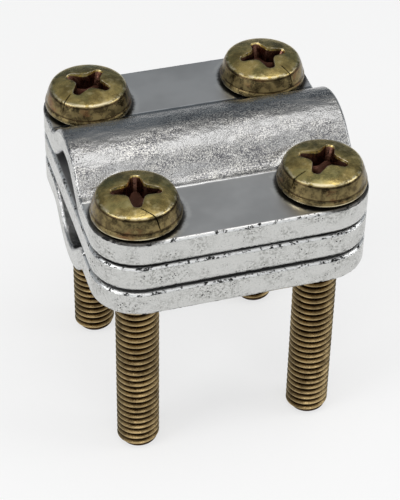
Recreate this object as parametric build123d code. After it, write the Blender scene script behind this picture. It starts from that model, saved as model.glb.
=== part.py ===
from build123d import *

import os
from math import cos, radians, tan

# Two-groove parallel clamp: two ribbed plates, a flat plate between them and four pan-head screws.
# The clamp stands on its screw tips. X runs along the grooves, Y across them and Z up the screws.
# The origin is on the ground, midway between the four screws. Sizes are in millimetres.

# Rib pressed into each outer plate; its hollow side is the groove for the conductor
GROOVE_RADIUS = 4.5
GROOVE_DEPTH = 4.85
FLANK_ANGLE = 42.0
GROOVE_LIP_RADIUS = 4.0
RIB_WALL = 2.95
RIB_FOOT_RADIUS = 2.4

# Plates
PLATE_LENGTH = 37.5
PLATE_THICKNESS = 3.6
SCREW_TO_EDGE = 6.25
CORNER_RADIUS = 6.5
EDGE_ROUND = 0.45

# Screws
SCREW_SPACING_Y = 25.0
THREAD_DIAMETER = 6.0
THREAD_PLAY = 0.05
SCREW_LENGTH = 40.0
TIP_CHAMFER = 0.8
SHANK_CLEARANCE = 0.3
HOLE_CHAMFER = 0.2

HEAD_DIAMETER = 12.0
HEAD_SIDE_HEIGHT = 2.4
HEAD_CROWN_RISE = 1.2
HEAD_TOP_DIAMETER = 10.9
HEAD_TOP_ROUND = 0.2
HEAD_FOOT_ROUND = 0.6
HEAD_POCKET_PLAY = 0.45

# Cross recess in the head
RECESS_SPAN = 6.4
RECESS_WING_WIDTH = 1.55
RECESS_CORNER = 0.55
RECESS_DEPTH = 2.0
RECESS_END_TAPER = 27.0
RECESS_SIDE_TAPER = 5.5
RECESS_POINT_ANGLE = 140.0

# Slack left between the loosely tightened pieces
HEAD_GAP = 0.3
UPPER_GAP = 0.4
LOWER_GAP = 0.6

# Side of the clamp each screw is on, along X and Y, and how far its recess is turned
SCREWS = {
    "screw_front_left": (-1, -1, -12.0),
    "screw_front_right": (1, -1, 53.0),
    "screw_back_left": (-1, 1, 46.0),
    "screw_back_right": (1, 1, 4.0),
}

# The plates reach a fixed margin past the screws, and the rib's wall is even
SCREW_SPACING_X = PLATE_LENGTH - 2 * SCREW_TO_EDGE
PLATE_WIDTH = SCREW_SPACING_Y + 2 * SCREW_TO_EDGE
RIB_TOP = GROOVE_DEPTH + RIB_WALL

TOP_PLATE_Z = SCREW_LENGTH - HEAD_GAP - PLATE_THICKNESS
MIDDLE_PLATE_Z = TOP_PLATE_Z - UPPER_GAP - PLATE_THICKNESS
BOTTOM_PLATE_Z = MIDDLE_PLATE_Z - LOWER_GAP - PLATE_THICKNESS


def screw_place(side_x, side_y):
    return Pos(side_x * SCREW_SPACING_X / 2, side_y * SCREW_SPACING_Y / 2)


def corners(sketch, y, z):
    """The two mirror-image corners of a section at this distance from its middle and this height."""
    found = sketch.vertices()
    return [v for v in found if abs(abs(v.X) - y) < 1e-4 and abs(v.Y - z) < 1e-4]


def round_topped(top, crest_radius):
    """A triangle on Y = 0 whose sloping flanks meet in a round crest at this height, and its half width."""
    slope = radians(FLANK_ANGLE)
    apex = top + crest_radius * (1 / cos(slope) - 1)
    half_width = apex / tan(slope)
    triangle = make_face(Polyline((-half_width, 0), (0, apex), (half_width, 0), close=True))
    return fillet(corners(triangle, 0, apex), crest_radius), half_width


def rib_section():
    """A ribbed plate in section, rib upwards: a flange that rises over a groove and keeps an even wall there."""
    groove, mouth = round_topped(GROOVE_DEPTH, GROOVE_RADIUS)
    back, back_half = round_topped(RIB_TOP, GROOVE_RADIUS + RIB_WALL)
    foot = back_half - PLATE_THICKNESS / tan(radians(FLANK_ANGLE))
    flange = Pos(0, PLATE_THICKNESS / 2) * Rectangle(PLATE_WIDTH, PLATE_THICKNESS)
    back &= Pos(0, RIB_TOP / 2) * Rectangle(PLATE_WIDTH, RIB_TOP)
    outside = flange + back
    outside = fillet(corners(outside, foot, PLATE_THICKNESS), RIB_FOOT_RADIUS)
    section = outside - groove
    return fillet(corners(section, mouth, 0), GROOVE_LIP_RADIUS)


def plate_outline():
    """The outline shared by all three plates: a rectangle with rounded corners."""
    return RectangleRounded(PLATE_LENGTH, PLATE_WIDTH, CORNER_RADIUS)


def round_rim(plate):
    """Rounds the rims where the upright outer walls of a plate meet its broad faces."""
    walls = [face for face in plate.faces() if abs(face.normal_at(face.center()).Z) < 0.01]
    edges = [edge for wall in walls for edge in wall.edges()]
    rims = [edge for edge in edges if edges.count(edge) == 1]
    return fillet(rims, EDGE_ROUND)


def drill(plate, diameter):
    """Four through holes at the screws, with a light chamfer at both mouths."""
    mouth_radius = diameter / 2 + HOLE_CHAMFER
    upper = PLATE_THICKNESS - HOLE_CHAMFER / 2
    for side_x, side_y, _ in SCREWS.values():
        place = screw_place(side_x, side_y)
        plate -= place * Pos(0, 0, PLATE_THICKNESS / 2) * Cylinder(diameter / 2, PLATE_THICKNESS)
        plate -= place * Pos(0, 0, HOLE_CHAMFER / 2) * Cone(mouth_radius, diameter / 2, HOLE_CHAMFER)
        plate -= place * Pos(0, 0, upper) * Cone(diameter / 2, mouth_radius, HOLE_CHAMFER)
    return plate


def ribbed_plate(hole_diameter):
    """An outer plate with its groove open downwards and its flange on Z = 0."""
    strip = extrude(Plane.YZ * rib_section(), PLATE_LENGTH / 2, both=True)
    blank = strip & extrude(plate_outline(), RIB_TOP)
    return drill(round_rim(blank), hole_diameter)


def cut_head_pockets(plate):
    """Clears the rib's flanks for the four screw heads, down to the flange they seat on."""
    depth = RIB_TOP - PLATE_THICKNESS
    cutter = Cylinder(HEAD_DIAMETER / 2 + HEAD_POCKET_PLAY, depth)
    for side_x, side_y, _ in SCREWS.values():
        plate -= screw_place(side_x, side_y) * Pos(0, 0, PLATE_THICKNESS + depth / 2) * cutter
    return plate


def flat_plate(hole_diameter):
    return drill(round_rim(extrude(plate_outline(), PLATE_THICKNESS)), hole_diameter)


def circles(body, radius):
    return [edge for edge in body.edges().filter_by(GeomType.CIRCLE) if abs(edge.radius - radius) < 1e-3]


def cross(span, wing_width):
    """A four-winged cross whose inner corners are cut across at 45 degrees."""
    reach, wing = span / 2, wing_width / 2
    inner = wing + RECESS_CORNER
    quarter = [(inner, -wing), (reach, -wing), (reach, wing), (inner, wing)]
    points = [Vector(x, y).rotate(Axis.Z, 90 * turn) for turn in range(4) for x, y in quarter]
    return make_face(Polyline(*points, close=True))


def cross_recess():
    """The tapered cross hole with its shallow point, measured down from the head's shoulder."""
    over = HEAD_CROWN_RISE + 0.5

    def section(depth):
        span = RECESS_SPAN - 2 * depth * tan(radians(RECESS_END_TAPER))
        wing_width = RECESS_WING_WIDTH - 2 * depth * tan(radians(RECESS_SIDE_TAPER))
        return Pos(0, 0, -depth) * cross(span, wing_width)

    wings = loft([section(-over), section(RECESS_DEPTH)], ruled=True)
    point_radius = RECESS_WING_WIDTH / 2
    point_depth = point_radius / tan(radians(RECESS_POINT_ANGLE / 2))
    return wings + Pos(0, 0, -RECESS_DEPTH - point_depth / 2) * Cone(0.05, point_radius, point_depth)


def screw(turned):
    """A pan-head machine screw, tip on the ground; its shank stands for the outside of the thread."""
    shank_radius = THREAD_DIAMETER / 2 - THREAD_PLAY
    top_radius = HEAD_TOP_DIAMETER / 2
    shoulder = SCREW_LENGTH + HEAD_SIDE_HEIGHT
    crown = shoulder + HEAD_CROWN_RISE

    side = Polyline(
        (0, crown),
        (0, 0),
        (shank_radius - TIP_CHAMFER, 0),
        (shank_radius, TIP_CHAMFER),
        (shank_radius, SCREW_LENGTH),
        (HEAD_DIAMETER / 2, SCREW_LENGTH),
        (top_radius, shoulder),
    )
    dome_radius = (top_radius**2 + HEAD_CROWN_RISE**2) / (2 * HEAD_CROWN_RISE)
    dome = RadiusArc((top_radius, shoulder), (0, crown), -dome_radius)
    body = revolve(Plane.XZ * make_face([*side.edges(), dome]), Axis.Z)
    body = fillet(circles(body, HEAD_DIAMETER / 2), HEAD_FOOT_ROUND)
    body = fillet(circles(body, top_radius), HEAD_TOP_ROUND)
    return body - Pos(0, 0, shoulder) * Rot(0, 0, turned) * cross_recess()


def build():
    """Every piece in its place, by node name."""
    clearance_hole = THREAD_DIAMETER + 2 * SHANK_CLEARANCE
    upside_down = Pos(0, 0, PLATE_THICKNESS) * Rot(180, 0, 0)
    pieces = {
        "top_plate": Pos(0, 0, TOP_PLATE_Z) * cut_head_pockets(ribbed_plate(clearance_hole)),
        "middle_plate": Pos(0, 0, MIDDLE_PLATE_Z) * flat_plate(clearance_hole),
        "bottom_plate": Pos(0, 0, BOTTOM_PLATE_Z) * upside_down * ribbed_plate(THREAD_DIAMETER),
    }
    for name, (side_x, side_y, turned) in SCREWS.items():
        pieces[name] = screw_place(side_x, side_y) * screw(turned)
    return pieces


os.makedirs("parts", exist_ok=True)
for node, shape in build().items():
    export_step(shape, f"parts/{node}.step")
    print(node, round(shape.volume, 1), "mm3")
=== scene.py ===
import math

import bmesh
import bpy
from mathutils import Matrix, Vector


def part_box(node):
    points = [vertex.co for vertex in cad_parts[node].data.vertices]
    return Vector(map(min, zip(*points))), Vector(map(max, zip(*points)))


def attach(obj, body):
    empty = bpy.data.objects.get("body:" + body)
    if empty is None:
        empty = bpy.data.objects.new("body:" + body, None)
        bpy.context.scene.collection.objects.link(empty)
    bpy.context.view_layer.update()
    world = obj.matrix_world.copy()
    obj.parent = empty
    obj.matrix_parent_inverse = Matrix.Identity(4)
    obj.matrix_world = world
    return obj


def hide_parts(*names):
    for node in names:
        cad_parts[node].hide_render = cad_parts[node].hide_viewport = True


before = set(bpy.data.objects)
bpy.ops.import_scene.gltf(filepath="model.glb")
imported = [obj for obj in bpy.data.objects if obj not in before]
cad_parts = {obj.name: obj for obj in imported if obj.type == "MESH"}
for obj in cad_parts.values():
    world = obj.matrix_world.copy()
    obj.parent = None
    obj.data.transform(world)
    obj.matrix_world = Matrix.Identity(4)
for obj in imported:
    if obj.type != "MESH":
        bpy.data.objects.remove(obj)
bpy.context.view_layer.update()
mm = 0.001


def deselectAll():
    if bpy.context.mode != "OBJECT":
        bpy.ops.object.mode_set(mode="OBJECT")
    bpy.ops.object.select_all(action="DESELECT")


def pick(piece):
    deselectAll()
    piece.select_set(True)
    bpy.context.view_layer.objects.active = piece


def applyAll(piece):
    pick(piece)
    for modifier in list(piece.modifiers):
        bpy.ops.object.modifier_apply(modifier=modifier.name)


# small helpers for node trees; a span is low and high, then what they give if that isn't 0 and 1

def newMaterial(name):
    material = bpy.data.materials.new(name)
    material.use_nodes = True
    return material, material.node_tree, material.node_tree.nodes["Principled BSDF"]


def addNode(tree, kind, **values):
    node = tree.nodes.new(kind)
    for key, value in values.items():
        node.inputs[key].default_value = value
    return node


def addMath(tree, operation, first, second=None, clamp=False):
    node = tree.nodes.new("ShaderNodeMath")
    node.operation = operation
    node.use_clamp = clamp
    for index, source in enumerate((first, second)):
        if source is None:
            continue
        if isinstance(source, (int, float)):
            node.inputs[index].default_value = source
        else:
            tree.links.new(source, node.inputs[index])
    return node.outputs[0]


def multiply(tree, first, second):
    return addMath(tree, "MULTIPLY", first, second)


def distanceFrom(tree, source, value):
    return addMath(tree, "ABSOLUTE", addMath(tree, "SUBTRACT", source, value))


def addRadius(tree, first, second):
    squared = addMath(tree, "ADD", multiply(tree, first, first), multiply(tree, second, second))
    return addMath(tree, "SQRT", squared)


def addMix(tree, factor, first, second):
    node = tree.nodes.new("ShaderNodeMix")
    node.data_type = "RGBA"
    for index, source in ((0, factor), (6, first), (7, second)):
        if isinstance(source, (int, float)):
            node.inputs[index].default_value = source
        elif isinstance(source, tuple):
            node.inputs[index].default_value = (*source, 1)
        else:
            tree.links.new(source, node.inputs[index])
    return node.outputs[2]


def addRamp(tree, source, low, high, outLow=0.0, outHigh=1.0):
    node = tree.nodes.new("ShaderNodeMapRange")
    node.interpolation_type = "SMOOTHSTEP"
    tree.links.new(source, node.inputs["Value"])
    for key, value in (("From Min", low), ("From Max", high), ("To Min", outLow), ("To Max", outHigh)):
        node.inputs[key].default_value = value
    return node.outputs["Result"]


def addNoise(tree, spot, scale, detail, rough=0.55, stretch=None):
    if stretch:
        mapping = addNode(tree, "ShaderNodeMapping", Scale=stretch)
        tree.links.new(spot, mapping.inputs["Vector"])
        spot = mapping.outputs["Vector"]
    node = addNode(tree, "ShaderNodeTexNoise", Scale=scale, Detail=detail, Roughness=rough)
    tree.links.new(spot, node.inputs["Vector"])
    return node.outputs["Fac"]


def addPatches(tree, spot, pattern):
    noise, span = pattern
    return addRamp(tree, addNoise(tree, spot, *noise), *span)


def splitUp(tree, vector):
    node = tree.nodes.new("ShaderNodeSeparateXYZ")
    tree.links.new(vector, node.inputs[0])
    return node.outputs


def addRelief(tree, shader, height, strength, distance):
    bump = addNode(tree, "ShaderNodeBump", Strength=strength, Distance=distance)
    tree.links.new(height, bump.inputs["Height"])
    tree.links.new(bump.outputs["Normal"], shader.inputs["Normal"])


# effects that several materials share

pitShape = {
    "patchScale": 0.33,  # share of the pits' own scale
    "patchDetail": 2.0,
    "edge": (0.0, 0.09),
}

grainShape = {
    "fineDetail": 3.0,
    "broadDetail": 2.0,
    "broadScale": 0.12,  # share of the fine grain's scale
    "fineShare": 0.8,
    "broadShare": 0.2,
    "toneSpan": (0.38, 0.62),
}


def newGroup(name, inputs, outputs):
    group = bpy.data.node_groups.new(name, "ShaderNodeTree")
    group.interface.new_socket("Vector", in_out="INPUT", socket_type="NodeSocketVector")
    for title in inputs:
        group.interface.new_socket(title, in_out="INPUT", socket_type="NodeSocketFloat")
    for title in outputs:
        group.interface.new_socket(title, in_out="OUTPUT", socket_type="NodeSocketFloat")
    return group, group.nodes.new("NodeGroupInput").outputs, group.nodes.new("NodeGroupOutput").inputs


def scaledTexture(group, kind, vector, scale):
    node = group.nodes.new(kind)
    group.links.new(vector, node.inputs["Vector"])
    group.links.new(scale, node.inputs["Scale"])
    return node


def makePitGroup():
    # dark pinholes and chips of uneven size
    group, given, asked = newGroup("castPits", ("Scale", "Amount"), ("Mask",))
    cells = scaledTexture(group, "ShaderNodeTexVoronoi", given["Vector"], given["Scale"])
    wide = multiply(group, given["Scale"], pitShape["patchScale"])
    patches = scaledTexture(group, "ShaderNodeTexNoise", given["Vector"], wide)
    patches.inputs["Detail"].default_value = pitShape["patchDetail"]
    reach = multiply(group, patches.outputs["Fac"], given["Amount"])
    inside = addMath(group, "SUBTRACT", reach, cells.outputs["Distance"])
    group.links.new(addRamp(group, inside, *pitShape["edge"]), asked["Mask"])
    return group


def makeGrainGroup():
    # sparkling, sand-like roughness of a plated casting: a height and a tone
    group, given, asked = newGroup("platedGrain", ("Scale",), ("Height", "Tone"))
    fine = scaledTexture(group, "ShaderNodeTexNoise", given["Vector"], given["Scale"])
    fine.inputs["Detail"].default_value = grainShape["fineDetail"]
    wide = multiply(group, given["Scale"], grainShape["broadScale"])
    broad = scaledTexture(group, "ShaderNodeTexNoise", given["Vector"], wide)
    broad.inputs["Detail"].default_value = grainShape["broadDetail"]
    group.links.new(fine.outputs["Fac"], asked["Height"])
    tone = addMath(group, "ADD", multiply(group, fine.outputs["Fac"], grainShape["fineShare"]),
                   multiply(group, broad.outputs["Fac"], grainShape["broadShare"]))
    group.links.new(addRamp(group, tone, *grainShape["toneSpan"]), asked["Tone"])
    return group


pitGroup = makePitGroup()
grainGroup = makeGrainGroup()


def useGroup(tree, group, spot, **values):
    node = tree.nodes.new("ShaderNodeGroup")
    node.node_tree = group
    tree.links.new(spot, node.inputs["Vector"])
    for key, value in values.items():
        node.inputs[key].default_value = value
    return node.outputs


# plates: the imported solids, given a plated and lightly worn cast finish

plateLook = {
    "flangeDark": (0.62, 0.62, 0.62),
    "flangeLight": (0.74, 0.74, 0.74),
    "ribDark": (0.16, 0.16, 0.175),
    "ribLight": (0.66, 0.65, 0.62),
    "ribEven": (0.47, 0.47, 0.47),
    "sideDark": (0.40, 0.40, 0.38),
    "sideLight": (0.62, 0.62, 0.60),
    # painted highlight: the bright colour of the rounded rims, also used for the drag streaks and the rubbed
    # ring
    "rim": (0.80, 0.80, 0.79),
    # painted highlight: the colour of the bright line in the crease at the rib's foot
    "creaseHighlight": (0.97, 0.97, 0.97),
    "pitDark": (0.03, 0.03, 0.03),
    # painted shadow: the dark colour of the ring round each head's foot
    "seatShadow": (0.035, 0.03, 0.025),
    "ribFoot": 8.6 * mm,
    "ribFade": (-0.3 * mm, 0.1 * mm),  # from the rib's foot
    "screwPlace": 12.5 * mm,
    # spans of how level a face lies, from upright at 0 to flat at 1
    "sideTilt": (0.15, 0.45, 1.0, 0.0),
    "rimTilt": (0.96, 0.99, 1.0, 0.0),
    "rimLift": (0.1, 0.3),
    # patterns, as scale, detail, roughness and stretch, and most with a span
    "grainScale": 5200.0,
    "coarse": (2600.0, 3.0, 0.6),
    "gritSpan": (0.36, 0.56),
    "cloud": ((120.0, 3.0), (0.35, 0.65)),
    "drag": ((900.0, 3.0, 0.6, (0.12, 1.0, 1.0)), (0.5, 0.75, 0.0, 0.1)),
    "ribWear": ((190.0, 3.0, 0.6, (0.5, 1.2, 1.0)), (0.38, 0.6)),
    "patches": ((210.0, 2.0), (0.44, 0.62)),
    "chips": ((1300.0, 4.0, 0.75), (0.53, 0.58)),
    "creasePlace": 8.72 * mm,
    "creaseWidth": (0.04 * mm, 0.22 * mm, 1.0, 0.0),
    "creaseBreaks": ((500.0, 3.0), (0.4, 0.52, 0.15, 0.85)),
    "seatWaver": 0.5 * mm,
    "rubbedRing": (7.0 * mm, 7.4 * mm, 1.0, 0.0),
    "wearAndHighlightBreaks": ((330.0, 3.0), (0.45, 0.56, 0.0, 0.9)),
    "seatShadowRing": (6.3 * mm, 6.8 * mm, 0.92, 0.0),
    "pitScale": 2300.0,
    "pitAmount": 0.44,
    "ribPits": 0.7,  # strength of the pits on the rib
    "roughness": 0.35,
    "texturedGloss": 0.09,  # taken from the roughness on the rib and the cut edges
    "pitRoughness": 0.3,
    "ribRelief": 0.5,
    "flangeRelief": 0.02,
    "waves": (420.0, 2.0, 0.5, (0.6, 1.0, 1.0)),
    "waveHeight": 5.0,
    "bumpStrength": 0.8,
    "bumpDistance": 0.09 * mm,
}


def findFaces(tree, place, ribbed):
    # masks for the cut edges, the rib and the rounded rims, with the distances from the middle lines
    look = plateLook
    where = splitUp(tree, place.outputs["Object"])
    along = addMath(tree, "ABSOLUTE", where["X"])
    across = addMath(tree, "ABSOLUTE", where["Y"])
    level = addMath(tree, "ABSOLUTE", splitUp(tree, place.outputs["Normal"])["Z"])
    onRib, offRib = 0.0, 1.0
    if ribbed:
        fade = [look["ribFoot"] + step for step in look["ribFade"]]
        onRib = addRamp(tree, across, *fade, 1.0, 0.0)
        offRib = addRamp(tree, across, *fade)
    onRim = multiply(tree, addRamp(tree, level, *look["rimTilt"]), offRib)
    onRim = multiply(tree, onRim, addRamp(tree, level, *look["rimLift"]))
    onSide = addRamp(tree, level, *look["sideTilt"])
    return {"along": along, "across": across, "side": onSide, "rib": onRib, "rim": onRim}


def flangeColour(tree, spot):
    look = plateLook
    flange = addMix(tree, addPatches(tree, spot, look["cloud"]), look["flangeDark"], look["flangeLight"])
    return addMix(tree, addPatches(tree, spot, look["drag"]), flange, look["rim"])


def ribColour(tree, spot, tone):
    # the speckle comes and goes along the rib's length
    look = plateLook
    speckled = addMix(tree, tone, look["ribDark"], look["ribLight"])
    return addMix(tree, addPatches(tree, spot, look["ribWear"]), look["ribEven"], speckled)


def sideColour(tree, coarse, patches):
    look = plateLook
    smooth = addMath(tree, "SUBTRACT", 1.0, patches)
    grit = addMath(tree, "MAXIMUM", addRamp(tree, coarse, *look["gritSpan"]), smooth)
    return addMix(tree, grit, look["sideDark"], look["sideLight"])


def addCreaseHighlight(tree, spot, face, colour):
    # painted highlight: a bright line in the crease at the rib's foot
    look = plateLook
    gap = distanceFrom(tree, face["across"], look["creasePlace"])
    line = addRamp(tree, gap, *look["creaseWidth"])
    line = multiply(tree, line, addPatches(tree, spot, look["creaseBreaks"]))
    return addMix(tree, line, colour, look["creaseHighlight"])


def addSeats(tree, spot, face, coarse, colour):
    # painted shadow: a dark ring round the foot of each head, and a rubbed ring just outside it
    look = plateLook
    along = addMath(tree, "SUBTRACT", face["along"], look["screwPlace"])
    across = addMath(tree, "SUBTRACT", face["across"], look["screwPlace"])
    ring = addRadius(tree, along, across)
    ring = addMath(tree, "ADD", ring, multiply(tree, coarse, look["seatWaver"]))
    wearAndHighlight = addRamp(tree, ring, *look["rubbedRing"])
    wearAndHighlight = multiply(tree, wearAndHighlight, addPatches(tree, spot, look["wearAndHighlightBreaks"]))
    colour = addMix(tree, wearAndHighlight, colour, look["rim"])
    # painted shadow: darkens the plate round each head's foot
    return addMix(tree, addRamp(tree, ring, *look["seatShadowRing"]), colour, look["seatShadow"])


def findSpots(tree, spot, face, patches):
    # pinholes on the cut edges and the rib, in patches, and chips along the rims
    look = plateLook
    pits = useGroup(tree, pitGroup, spot, Scale=look["pitScale"], Amount=look["pitAmount"])["Mask"]
    pits = multiply(tree, pits, patches)
    onRib = multiply(tree, pits, multiply(tree, face["rib"], look["ribPits"]))
    pits = addMath(tree, "MAXIMUM", multiply(tree, pits, face["side"]), onRib)
    chips = multiply(tree, addPatches(tree, spot, look["chips"]), face["rim"])
    return addMath(tree, "MAXIMUM", pits, chips)


def plateGloss(tree, face, spotted):
    look = plateLook
    textured = addMath(tree, "MAXIMUM", face["side"], face["rib"])
    gloss = addMath(tree, "SUBTRACT", look["roughness"], multiply(tree, textured, look["texturedGloss"]))
    return addMath(tree, "ADD", gloss, multiply(tree, spotted, look["pitRoughness"]), clamp=True)


def plateRelief(tree, spot, face, grain, coarse, spotted):
    look = plateLook
    rough = addMath(tree, "ADD", face["side"], multiply(tree, face["rib"], look["ribRelief"]))
    rough = addMath(tree, "ADD", rough, look["flangeRelief"])
    relief = multiply(tree, addMath(tree, "ADD", grain, coarse), rough)
    relief = addMath(tree, "SUBTRACT", relief, spotted)
    waves = multiply(tree, addNoise(tree, spot, *look["waves"]), face["rib"])
    return addMath(tree, "ADD", relief, multiply(tree, waves, look["waveHeight"]))


def plateMaterial(name, ribbed, seated):
    look = plateLook
    material, tree, shader = newMaterial(name)
    place = tree.nodes.new("ShaderNodeTexCoord")
    spot = place.outputs["Object"]
    face = findFaces(tree, place, ribbed)
    grain = useGroup(tree, grainGroup, spot, Scale=look["grainScale"])
    coarse = addNoise(tree, spot, *look["coarse"])
    patches = addPatches(tree, spot, look["patches"])

    colour = addMix(tree, face["rib"], flangeColour(tree, spot), ribColour(tree, spot, grain["Tone"]))
    if ribbed:
        colour = addCreaseHighlight(tree, spot, face, colour)
    # painted highlight: the rounded rims are coloured bright
    colour = addMix(tree, face["rim"], colour, look["rim"])
    if seated:
        colour = addSeats(tree, spot, face, coarse, colour)
    colour = addMix(tree, face["side"], colour, sideColour(tree, coarse, patches))
    spotted = findSpots(tree, spot, face, patches)
    colour = addMix(tree, spotted, colour, look["pitDark"])
    tree.links.new(colour, shader.inputs["Base Color"])

    tree.links.new(plateGloss(tree, face, spotted), shader.inputs["Roughness"])
    shader.inputs["Metallic"].default_value = 1.0
    relief = plateRelief(tree, spot, face, grain["Height"], coarse, spotted)
    addRelief(tree, shader, relief, look["bumpStrength"], look["bumpDistance"])
    return material


def dressPlate(node, ribbed, seated):
    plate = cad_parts[node]
    material = plateMaterial("plated alloy " + node.replace("_", " "), ribbed, seated)
    plate.data.materials.clear()
    plate.data.materials.append(material)


dressPlate("top_plate", ribbed=True, seated=True)
dressPlate("middle_plate", ribbed=False, seated=False)
dressPlate("bottom_plate", ribbed=True, seated=False)
print("plates dressed")


# screws: a cut thread and a pan head with a cross recess, each one turned its own way

threadSize = {
    "pitch": 1.0 * mm,
    "crestRadius": 2.95 * mm,
    "depth": 0.58 * mm,
    "rise": (0.12, 0.44),  # where a tooth starts and ends its climb, as shares of the pitch
    "fall": (0.58, 0.9),
    "steps": 40,
    "spareTurns": 2,  # trimmed off at each end
    "tipChamfer": 0.8 * mm,
    "mergeGap": 0.01 * mm,
    "trimGap": 0.001 * mm,
}

headSize = {
    "seat": 40.0 * mm,
    # outline in mm as radius and height above the seat: from the shank outwards, up the wall, over the crown
    "outline": [(2.6, 0.0), (5.5, 0.0), (5.76, 0.05), (5.9, 0.17), (5.93, 0.36), (5.92, 0.62), (5.88, 0.78),
                (5.8, 0.88), (5.76, 1.0), (5.68, 1.4), (5.52, 1.95), (5.34, 2.45), (5.2, 2.75), (5.1, 2.88),
                (4.95, 2.98), (4.7, 3.08), (4.3, 3.2), (3.6, 3.37), (2.4, 3.58), (1.2, 3.7)],
    "steps": 96,
    "mergeGap": 0.005 * mm,
    "edgeBreak": 0.15 * mm,
    "mouthReach": 4.1 * mm,
    "mouthHeight": 3.15 * mm,
    "mouthAngle": 38.0,
    "sliverGap": 0.012 * mm,
    "pointGap": 0.004 * mm,
    "smoothAngle": 32.0,
    # how far each recess is turned, where the scratch on its head starts, and how far that runs aslant
    "turns": {
        "screw_front_left": (-12.0, -96.0, 50.0),
        "screw_front_right": (53.0, -150.0, -12.0),
        "screw_back_left": (46.0, 215.0, 10.0),
        "screw_back_right": (4.0, -62.0, 0.0),
    },
}

recessSize = {
    "cutAngle": 46.0,  # off the lines of the spin, so that the cut meets none of them end on
    "height": 3.6 * mm,  # above the seat, where the wings have their full size
    "clearance": 1.2 * mm,
    "span": 6.8 * mm,
    "width": 2.1 * mm,
    "corner": 0.35 * mm,
    "tipShare": 0.55,
    "tipSet": 0.4,  # a wing's end is rounded by two small corners
    "tipFlat": 0.45,
    "depth": 2.2 * mm,
    "pointDepth": 0.45 * mm,
    "endTaper": 24.0,
    "sideTaper": 6.0,
}

scratchSize = {
    "width": 0.15 * mm,
    "length": 4.0 * mm,
    "height": 2.0 * mm,
    "slope": 36.8,
    "start": 3.5 * mm,
    "place": 5.6 * mm,
    "level": 2.85 * mm,
}


def openMesh(name, outline):
    # an open outline of straight edges in a new object
    bpy.ops.mesh.primitive_plane_add(size=mm)
    piece = bpy.context.object
    piece.name = name
    mesh = bmesh.new()
    points = [mesh.verts.new((radius, 0, height)) for radius, height in outline]
    for first, second in zip(points, points[1:]):
        mesh.edges.new((first, second))
    mesh.to_mesh(piece.data)
    mesh.free()
    return piece


def makeThread(name, x, y):
    # one tooth drawn as a short line, then carried round and up by the Screw modifier
    size = threadSize
    seat = headSize["seat"]
    pitch, crest, spare = size["pitch"], size["crestRadius"], size["spareTurns"]
    root = crest - size["depth"]
    tooth = [(root, 0.0), (root, size["rise"][0]), (crest, size["rise"][1]),
             (crest, size["fall"][0]), (root, size["fall"][1]), (root, 1.0)]
    shank = openMesh(name, [(radius, (along - spare) * pitch) for radius, along in tooth])
    turn = shank.modifiers.new("thread", "SCREW")
    turn.axis = "Z"
    turn.screw_offset = pitch
    turn.iterations = round(seat / pitch) + 2 * spare
    turn.steps = turn.render_steps = size["steps"]
    turn.use_merge_vertices = False
    applyAll(shank)

    bpy.ops.object.mode_set(mode="EDIT")
    bpy.ops.mesh.select_all(action="SELECT")
    bpy.ops.mesh.remove_doubles(threshold=size["mergeGap"])
    bpy.ops.mesh.bisect(plane_co=(0, 0, 0), plane_no=(0, 0, 1), use_fill=True, clear_inner=True,
                        threshold=size["trimGap"])
    bpy.ops.mesh.select_all(action="SELECT")
    bpy.ops.mesh.bisect(plane_co=(0, 0, seat), plane_no=(0, 0, 1), use_fill=True, clear_outer=True,
                        threshold=size["trimGap"])
    bpy.ops.mesh.select_all(action="SELECT")
    bpy.ops.mesh.normals_make_consistent(inside=False)
    bpy.ops.object.mode_set(mode="OBJECT")

    chamfer = size["tipChamfer"]
    for vert in shank.data.vertices:
        radius = math.hypot(vert.co.x, vert.co.y)
        limit = crest - max(0.0, chamfer - vert.co.z)
        if vert.co.z < chamfer and radius > limit:
            vert.co.x *= limit / radius
            vert.co.y *= limit / radius
    shank.data.transform(Matrix.Translation((x, y, 0)))
    return shank


def recessRing(mesh, drop, level):
    # four wings round a square, narrower the further down they are
    size = recessSize
    half, reach = size["width"] / 2, size["span"] / 2
    wing = half - drop * math.tan(math.radians(size["sideTaper"]))
    far = reach - drop * math.tan(math.radians(size["endTaper"]))
    near = wing + size["corner"]
    tip = wing * size["tipShare"]
    outline = ((near, -wing), (far - tip * size["tipSet"], -tip), (far, -tip * size["tipFlat"]),
               (far, tip * size["tipFlat"]), (far - tip * size["tipSet"], tip), (near, wing))
    ring = []
    for turn in range(4):
        angle = turn * math.pi / 2
        for px, py in outline:
            ring.append(mesh.verts.new((px * math.cos(angle) - py * math.sin(angle),
                                        px * math.sin(angle) + py * math.cos(angle), level)))
    return ring


def makeRecessTool():
    # a cross-shaped prism, tapered and drawn to a point
    size = recessSize
    mouth = headSize["seat"] + size["height"]
    bottom = mouth - size["depth"]
    mesh = bmesh.new()
    upper = recessRing(mesh, -size["clearance"], mouth + size["clearance"])
    lower = recessRing(mesh, size["depth"], bottom)
    count = len(upper)
    for i in range(count):
        j = (i + 1) % count
        mesh.faces.new((upper[j], upper[i], lower[i], lower[j]))
    mesh.faces.new(upper)
    point = mesh.verts.new((0, 0, bottom - size["pointDepth"]))
    for i in range(count):
        mesh.faces.new((lower[(i + 1) % count], lower[i], point))
    bmesh.ops.recalc_face_normals(mesh, faces=mesh.faces)
    bpy.ops.mesh.primitive_cube_add(size=mm)
    tool = bpy.context.object
    mesh.to_mesh(tool.data)
    mesh.free()
    tool.data.transform(Matrix.Rotation(math.radians(size["cutAngle"]), 4, "Z"))
    return tool


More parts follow.
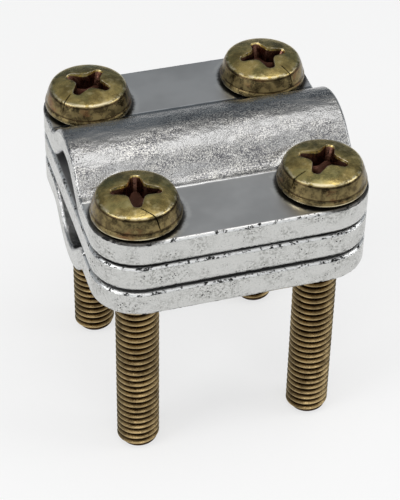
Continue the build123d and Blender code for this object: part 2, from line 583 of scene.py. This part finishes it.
def makeScratchTool(angle, skew):
    # a thin blade that scores the head from beside its recess out over the edge and down the side
    size = scratchSize
    bpy.ops.mesh.primitive_cube_add(size=1.0)
    tool = bpy.context.object
    level = headSize["seat"] + size["level"]
    for step in (Matrix.Diagonal((size["length"], size["width"], size["height"], 1)),
                 Matrix.Rotation(math.radians(size["slope"]), 4, "Y"),
                 Matrix.Translation((size["place"] - size["start"], 0, level)),
                 Matrix.Rotation(math.radians(skew), 4, "Z"),
                 Matrix.Translation((size["start"], 0, 0)),
                 Matrix.Rotation(math.radians(angle), 4, "Z")):
        tool.data.transform(step)
    return tool


def cutOut(piece, tool):
    cut = piece.modifiers.new("cut", "BOOLEAN")
    cut.operation = "DIFFERENCE"
    cut.solver = "EXACT"
    cut.object = tool
    applyAll(piece)
    bpy.data.objects.remove(tool)


def spinHead(name):
    # half outline spun about the screw's axis, then closed at its two ends
    size = headSize
    head = openMesh(name, [(radius * mm, size["seat"] + height * mm) for radius, height in size["outline"]])
    pick(head)
    bpy.ops.object.mode_set(mode="EDIT")
    bpy.ops.mesh.select_all(action="SELECT")
    bpy.ops.mesh.spin(steps=size["steps"], angle=math.tau, center=(0, 0, 0), axis=(0, 0, 1))
    bpy.ops.mesh.select_all(action="SELECT")
    bpy.ops.mesh.remove_doubles(threshold=size["mergeGap"])
    bpy.ops.mesh.select_all(action="DESELECT")
    bpy.ops.mesh.select_mode(type="EDGE")
    bpy.ops.mesh.select_non_manifold(extend=False)
    bpy.ops.mesh.edge_face_add()
    bpy.ops.mesh.select_all(action="SELECT")
    bpy.ops.mesh.normals_make_consistent(inside=False)
    bpy.ops.object.mode_set(mode="OBJECT")
    return head


def breakMouth(head):
    # bevel round the mouth of the recess, in the second material, whose bright colour is wear and painted
    # highlight
    size = headSize
    pick(head)
    bpy.ops.object.mode_set(mode="EDIT")
    bpy.ops.mesh.select_mode(type="EDGE")
    bpy.ops.mesh.select_all(action="DESELECT")
    mesh = bmesh.from_edit_mesh(head.data)
    for edge in mesh.edges:
        middle = (edge.verts[0].co + edge.verts[1].co) / 2
        near = math.hypot(middle.x, middle.y) < size["mouthReach"]
        high = middle.z > size["seat"] + size["mouthHeight"]
        if near and high and edge.calc_face_angle(0.0) > math.radians(size["mouthAngle"]):
            edge.select_set(True)
    bmesh.update_edit_mesh(head.data)
    bpy.ops.mesh.bevel(offset=size["edgeBreak"], segments=2, affect="EDGES", material=1, clamp_overlap=True)
    bpy.ops.mesh.select_all(action="SELECT")
    bpy.ops.mesh.remove_doubles(threshold=size["sliverGap"])
    bpy.ops.mesh.dissolve_degenerate(threshold=size["pointGap"])
    bpy.ops.object.mode_set(mode="OBJECT")


def makeHead(name, x, y, turned, scratch, skew, materials):
    head = spinHead(name)
    for material in materials:
        head.data.materials.append(material)
    cutOut(head, makeRecessTool())
    breakMouth(head)
    head.data.transform(Matrix.Rotation(math.radians(turned - recessSize["cutAngle"]), 4, "Z"))
    cutOut(head, makeScratchTool(scratch, skew))
    head.data.transform(Matrix.Translation((x, y, 0)))
    return head


screwLook = {
    "crownGold": (0.56, 0.435, 0.165),
    "crownOlive": (0.28, 0.215, 0.08),
    "crownBright": (0.80, 0.68, 0.38),
    "sideBrown": (0.26, 0.20, 0.09),
    "sideDark": (0.10, 0.075, 0.035),
    # painted highlight and reflection: the bright colour of the crown's edge and the head's foot
    "rimHighlight": (0.66, 0.58, 0.38),
    "recess": (0.105, 0.05, 0.035),
    "threadCrest": (0.52, 0.385, 0.19),
    # painted shade: near black colour of the thread's roots, also used for the shade lines on the head's
    # wall
    "rootShade": (0.04, 0.022, 0.010),
    "wornDark": (0.42, 0.32, 0.19),
    "wornHighlight": (0.92, 0.84, 0.70),
    "tintGreen": (0.20, 0.25, 0.12),
    "tintRed": (0.26, 0.11, 0.05),
    # patterns, as on the plates
    "broad": (420.0, 4.0, 0.6),
    "blotch": (1100.0, 4.0, 0.65),
    "fine": (3200.0, 3.0, 0.6),
    "goldSpan": (0.36, 0.6),
    "brightSpan": (0.54, 0.68, 0.0, 0.45),
    "green": ((230.0, 2.0), (0.5, 0.64, 0.0, 0.35)),
    "brownSpan": (0.38, 0.62),
    "red": ((310.0, 2.0, 0.55, (1.0, 1.0, 2.0)), (0.58, 0.7, 0.0, 0.4)),
    # heights above the seat, and widths
    "crownEdge": (2.78 * mm, 2.92 * mm, 1.0, 0.0),
    "shadeLines": ((2.64 * mm, 0.85), (0.98 * mm, 0.8)),  # height and strength
    "lineWidth": (0.04 * mm, 0.17 * mm),
    "lineBreaks": (0.3, 0.5, 0.4, 1.0),
    "footTop": (0.22 * mm, 0.4 * mm, 1.0, 0.0),
    "footBreaks": (0.35, 0.55, 0.2, 1.0),
    # painted highlight: where and how wide the bright band on the crown's edge lies
    "edgeHighlightHeight": 2.94 * mm,
    "edgeHighlightWidth": (0.03 * mm, 0.14 * mm, 1.0, 0.0),
    "wearAndHighlightBreaks": (0.42, 0.56),
    "recessReach": (3.8 * mm, 4.1 * mm, 1.0, 0.0),
    "recessTop": (3.12 * mm, 3.26 * mm, 1.0, 0.0),
    "headFoot": (0.0, 0.2 * mm),
    "shankTop": (-0.2 * mm, 0.0, 1.0, 0.0),
    "crestReach": (2.52 * mm, 2.92 * mm),
    "crestWear": (0.3, 0.62, 0.45, 1.0),
    "gloss": (0.35, 0.65, 0.2, 0.4),
    "fineRelief": 0.5,
    "blotchRelief": 1.3,
    "bumpStrength": 0.55,
    "bumpDistance": 0.06 * mm,
    "wornPatches": ((1300.0, 3.0), (0.4, 0.6)),
    "wornRoughness": 0.35,
}


def crownColour(tree, spot, broad, blotch):
    # mottled gold and olive, with brighter rubbed patches
    look = screwLook
    gold = addMix(tree, addRamp(tree, broad, *look["goldSpan"]), look["crownOlive"], look["crownGold"])
    gold = addMix(tree, addRamp(tree, blotch, *look["brightSpan"]), gold, look["crownBright"])
    return addMix(tree, addPatches(tree, spot, look["green"]), gold, look["tintGreen"])


def wallColour(tree, spot, lift, broad, blotch):
    # darker, with painted shade as a dark line under the crown's edge and another above the foot band, and a
    # painted reflection on a bright foot
    look = screwLook
    wall = addMix(tree, addRamp(tree, blotch, *look["brownSpan"]), look["sideDark"], look["sideBrown"])
    wall = addMix(tree, addPatches(tree, spot, look["red"]), wall, look["tintRed"])
    # painted shade: dark lines along the wall under the crown's edge and above the foot band
    for level, strength in look["shadeLines"]:
        line = addRamp(tree, distanceFrom(tree, lift, level), *look["lineWidth"], strength, 0.0)
        line = multiply(tree, line, addRamp(tree, broad, *look["lineBreaks"]))
        wall = addMix(tree, line, wall, look["rootShade"])
    # painted reflection: the rounded foot of the head coloured bright
    foot = multiply(tree, addRamp(tree, lift, *look["footTop"]), addRamp(tree, broad, *look["footBreaks"]))
    return addMix(tree, foot, wall, look["rimHighlight"])


def headColour(tree, spot, lift, radius, broad, blotch):
    # crown and wall, with a painted highlight along the edge between them and a reddish brown recess
    look = screwLook
    colour = addMix(tree, addRamp(tree, lift, *look["crownEdge"]), crownColour(tree, spot, broad, blotch),
                    wallColour(tree, spot, lift, broad, blotch))
    # painted highlight: a broken bright band along the crown's edge
    wearAndHighlight = addRamp(tree, distanceFrom(tree, lift, look["edgeHighlightHeight"]), *look["edgeHighlightWidth"])
    wearAndHighlight = multiply(tree, wearAndHighlight, addRamp(tree, blotch, *look["wearAndHighlightBreaks"]))
    colour = addMix(tree, wearAndHighlight, colour, look["rimHighlight"])
    inRecess = addRamp(tree, radius, *look["recessReach"])
    for height in ("recessTop", "headFoot"):
        inRecess = multiply(tree, inRecess, addRamp(tree, lift, *look[height]))
    return addMix(tree, inRecess, colour, look["recess"])


def threadColour(tree, radius, broad):
    # painted shade: the thread's roots are coloured near black, the crests lighter in random patches
    look = screwLook
    brightPart = addRamp(tree, radius, *look["crestReach"])
    brightPart = multiply(tree, brightPart, addRamp(tree, broad, *look["crestWear"]))
    return addMix(tree, brightPart, look["rootShade"], look["threadCrest"])


def screwMaterial(name, x, y):
    look = screwLook
    material, tree, shader = newMaterial(name)
    spot = tree.nodes.new("ShaderNodeTexCoord").outputs["Object"]
    centred = addNode(tree, "ShaderNodeMapping", Location=(-x, -y, 0))
    tree.links.new(spot, centred.inputs["Vector"])
    where = splitUp(tree, centred.outputs["Vector"])
    radius = addRadius(tree, where["X"], where["Y"])
    lift = addMath(tree, "SUBTRACT", where["Z"], headSize["seat"])
    broad, blotch, fine = (addNoise(tree, spot, *look[pattern]) for pattern in ("broad", "blotch", "fine"))

    onThread = addRamp(tree, lift, *look["shankTop"])
    colour = addMix(tree, onThread, headColour(tree, spot, lift, radius, broad, blotch),
                    threadColour(tree, radius, broad))
    tree.links.new(colour, shader.inputs["Base Color"])
    tree.links.new(addRamp(tree, blotch, *look["gloss"]), shader.inputs["Roughness"])
    shader.inputs["Metallic"].default_value = 1.0
    relief = addMath(tree, "ADD", multiply(tree, fine, look["fineRelief"]),
                     multiply(tree, blotch, look["blotchRelief"]))
    addRelief(tree, shader, relief, look["bumpStrength"], look["bumpDistance"])
    return material


def mouthWearHighlightMaterial(name):
    # worn metal and painted highlight: a bright cream colour for the bevel round the recess mouth
    look = screwLook
    material, tree, shader = newMaterial(name)
    spot = tree.nodes.new("ShaderNodeTexCoord").outputs["Object"]
    colour = addMix(tree, addPatches(tree, spot, look["wornPatches"]), look["wornDark"], look["wornHighlight"])
    tree.links.new(colour, shader.inputs["Base Color"])
    shader.inputs["Metallic"].default_value = 1.0
    shader.inputs["Roughness"].default_value = look["wornRoughness"]
    return material


def makeScrew(node):
    low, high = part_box(node)
    x, y = (low.x + high.x) / 2, (low.y + high.y) / 2
    label = node.replace("_", " ")
    plated = screwMaterial("yellow zinc " + label, x, y)
    brightPart = mouthWearHighlightMaterial("worn highlighted zinc edge " + label)
    shank = makeThread(node + "_thread", x, y)
    shank.data.materials.append(plated)
    head = makeHead(node + "_head", x, y, *headSize["turns"][node], (plated, brightPart))
    for piece in (shank, head):
        pick(piece)
        bpy.ops.object.shade_smooth_by_angle(angle=math.radians(headSize["smoothAngle"]))
        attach(piece, node)
        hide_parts(node)
    print("made", node, len(shank.data.polygons), len(head.data.polygons))


for node in headSize["turns"]:
    makeScrew(node)


# white studio floor, four soft lamps, sky and camera

floorLook = {
    "side": 6.0,
    "colour": (0.98, 0.98, 0.98),
    "roughness": 0.6,
    "sheen": 0.2,
    "glow": 0.65,  # how much of what is seen of the floor is plain white
}

lampSet = {
    "topBox": {"place": (0.02, -0.05, 0.52), "size": (0.46, 0.22), "power": 0.55},
    "frontBox": {"place": (-0.05, -0.40, 0.34), "size": (0.50, 0.26), "power": 0.50},
    "leftBox": {"place": (-0.46, -0.12, 0.30), "size": (0.25, 0.30), "power": 1.0},
    "rightBox": {"place": (0.48, -0.16, 0.30), "size": (0.25, 0.30), "power": 0.7},
}
lampAim = (0, 0, 0.03)

skyLook = {
    "horizon": (0.14, 0.165, 0.19),
    "room": (0.42, 0.42, 0.415),
    "overhead": (0.50, 0.49, 0.47),
    "roomSpan": (0.36, 0.86),
    "overheadSpan": (0.72, 0.98),
}

cameraView = {
    "aim": (0.0, 0.0, 0.021),
    "distance": 0.257,
    "azimuth": -17.42,
    "elevation": 39.67,
    "roll": 1.14,
    "lens": 132.0,
    "sensor": 36.0,
    "clip": (0.01, 20.0),
}


def makeFloor():
    look = floorLook
    deselectAll()
    bpy.ops.mesh.primitive_plane_add(size=look["side"], location=(0, 0, 0))
    floor = bpy.context.object
    floor.name = "studioFloor"
    material, tree, shader = newMaterial("studio floor")
    shader.inputs["Base Color"].default_value = (*look["colour"], 1)
    shader.inputs["Roughness"].default_value = look["roughness"]
    shader.inputs["Specular IOR Level"].default_value = look["sheen"]
    glow = addNode(tree, "ShaderNodeEmission", Color=(1, 1, 1, 1), Strength=1.0)
    ray = tree.nodes.new("ShaderNodeLightPath").outputs
    seen = addMath(tree, "MAXIMUM", ray["Is Camera Ray"], ray["Is Glossy Ray"])
    mix = tree.nodes.new("ShaderNodeMixShader")
    tree.links.new(multiply(tree, seen, look["glow"]), mix.inputs[0])
    tree.links.new(shader.outputs[0], mix.inputs[1])
    tree.links.new(glow.outputs[0], mix.inputs[2])
    tree.links.new(mix.outputs[0], tree.nodes["Material Output"].inputs["Surface"])
    floor.data.materials.append(material)


def makeLamp(name, place, size, power):
    bpy.ops.object.light_add(type="AREA", location=place)
    lamp = bpy.context.object
    lamp.name = name
    lamp.data.shape = "RECTANGLE"
    lamp.data.size, lamp.data.size_y = size
    lamp.data.energy = power
    lamp.rotation_euler = (Vector(lampAim) - Vector(place)).to_track_quat("-Z", "Y").to_euler()


def makeSky():
    # dim and bluish low down, brighter overhead
    look = skyLook
    world = bpy.data.worlds.new("studio")
    bpy.context.scene.world = world
    world.use_nodes = True
    tree = world.node_tree
    height = splitUp(tree, tree.nodes.new("ShaderNodeTexCoord").outputs["Generated"])["Z"]
    low = addMix(tree, addRamp(tree, height, *look["roomSpan"]), look["horizon"], look["room"])
    sky = addMix(tree, addRamp(tree, height, *look["overheadSpan"]), low, look["overhead"])
    tree.links.new(sky, tree.nodes["Background"].inputs["Color"])


def makeCamera():
    view = cameraView
    azimuth, elevation = math.radians(view["azimuth"]), math.radians(view["elevation"])
    back = Vector((math.sin(azimuth) * math.cos(elevation), -math.cos(azimuth) * math.cos(elevation),
                   math.sin(elevation)))
    bpy.ops.object.camera_add(location=Vector(view["aim"]) + back * view["distance"])
    camera = bpy.context.object
    turn = (-back).to_track_quat("-Z", "Y").to_matrix().to_4x4()
    turn = turn @ Matrix.Rotation(math.radians(view["roll"]), 4, "Z")
    camera.rotation_euler = turn.to_euler()
    camera.data.lens = view["lens"]
    camera.data.sensor_width = view["sensor"]
    camera.data.clip_start, camera.data.clip_end = view["clip"]
    bpy.context.scene.camera = camera


makeFloor()
makeSky()
for name, lamp in lampSet.items():
    makeLamp(name, **lamp)
makeCamera()
bpy.context.scene.view_settings.view_transform = "Standard"
print("stage set")
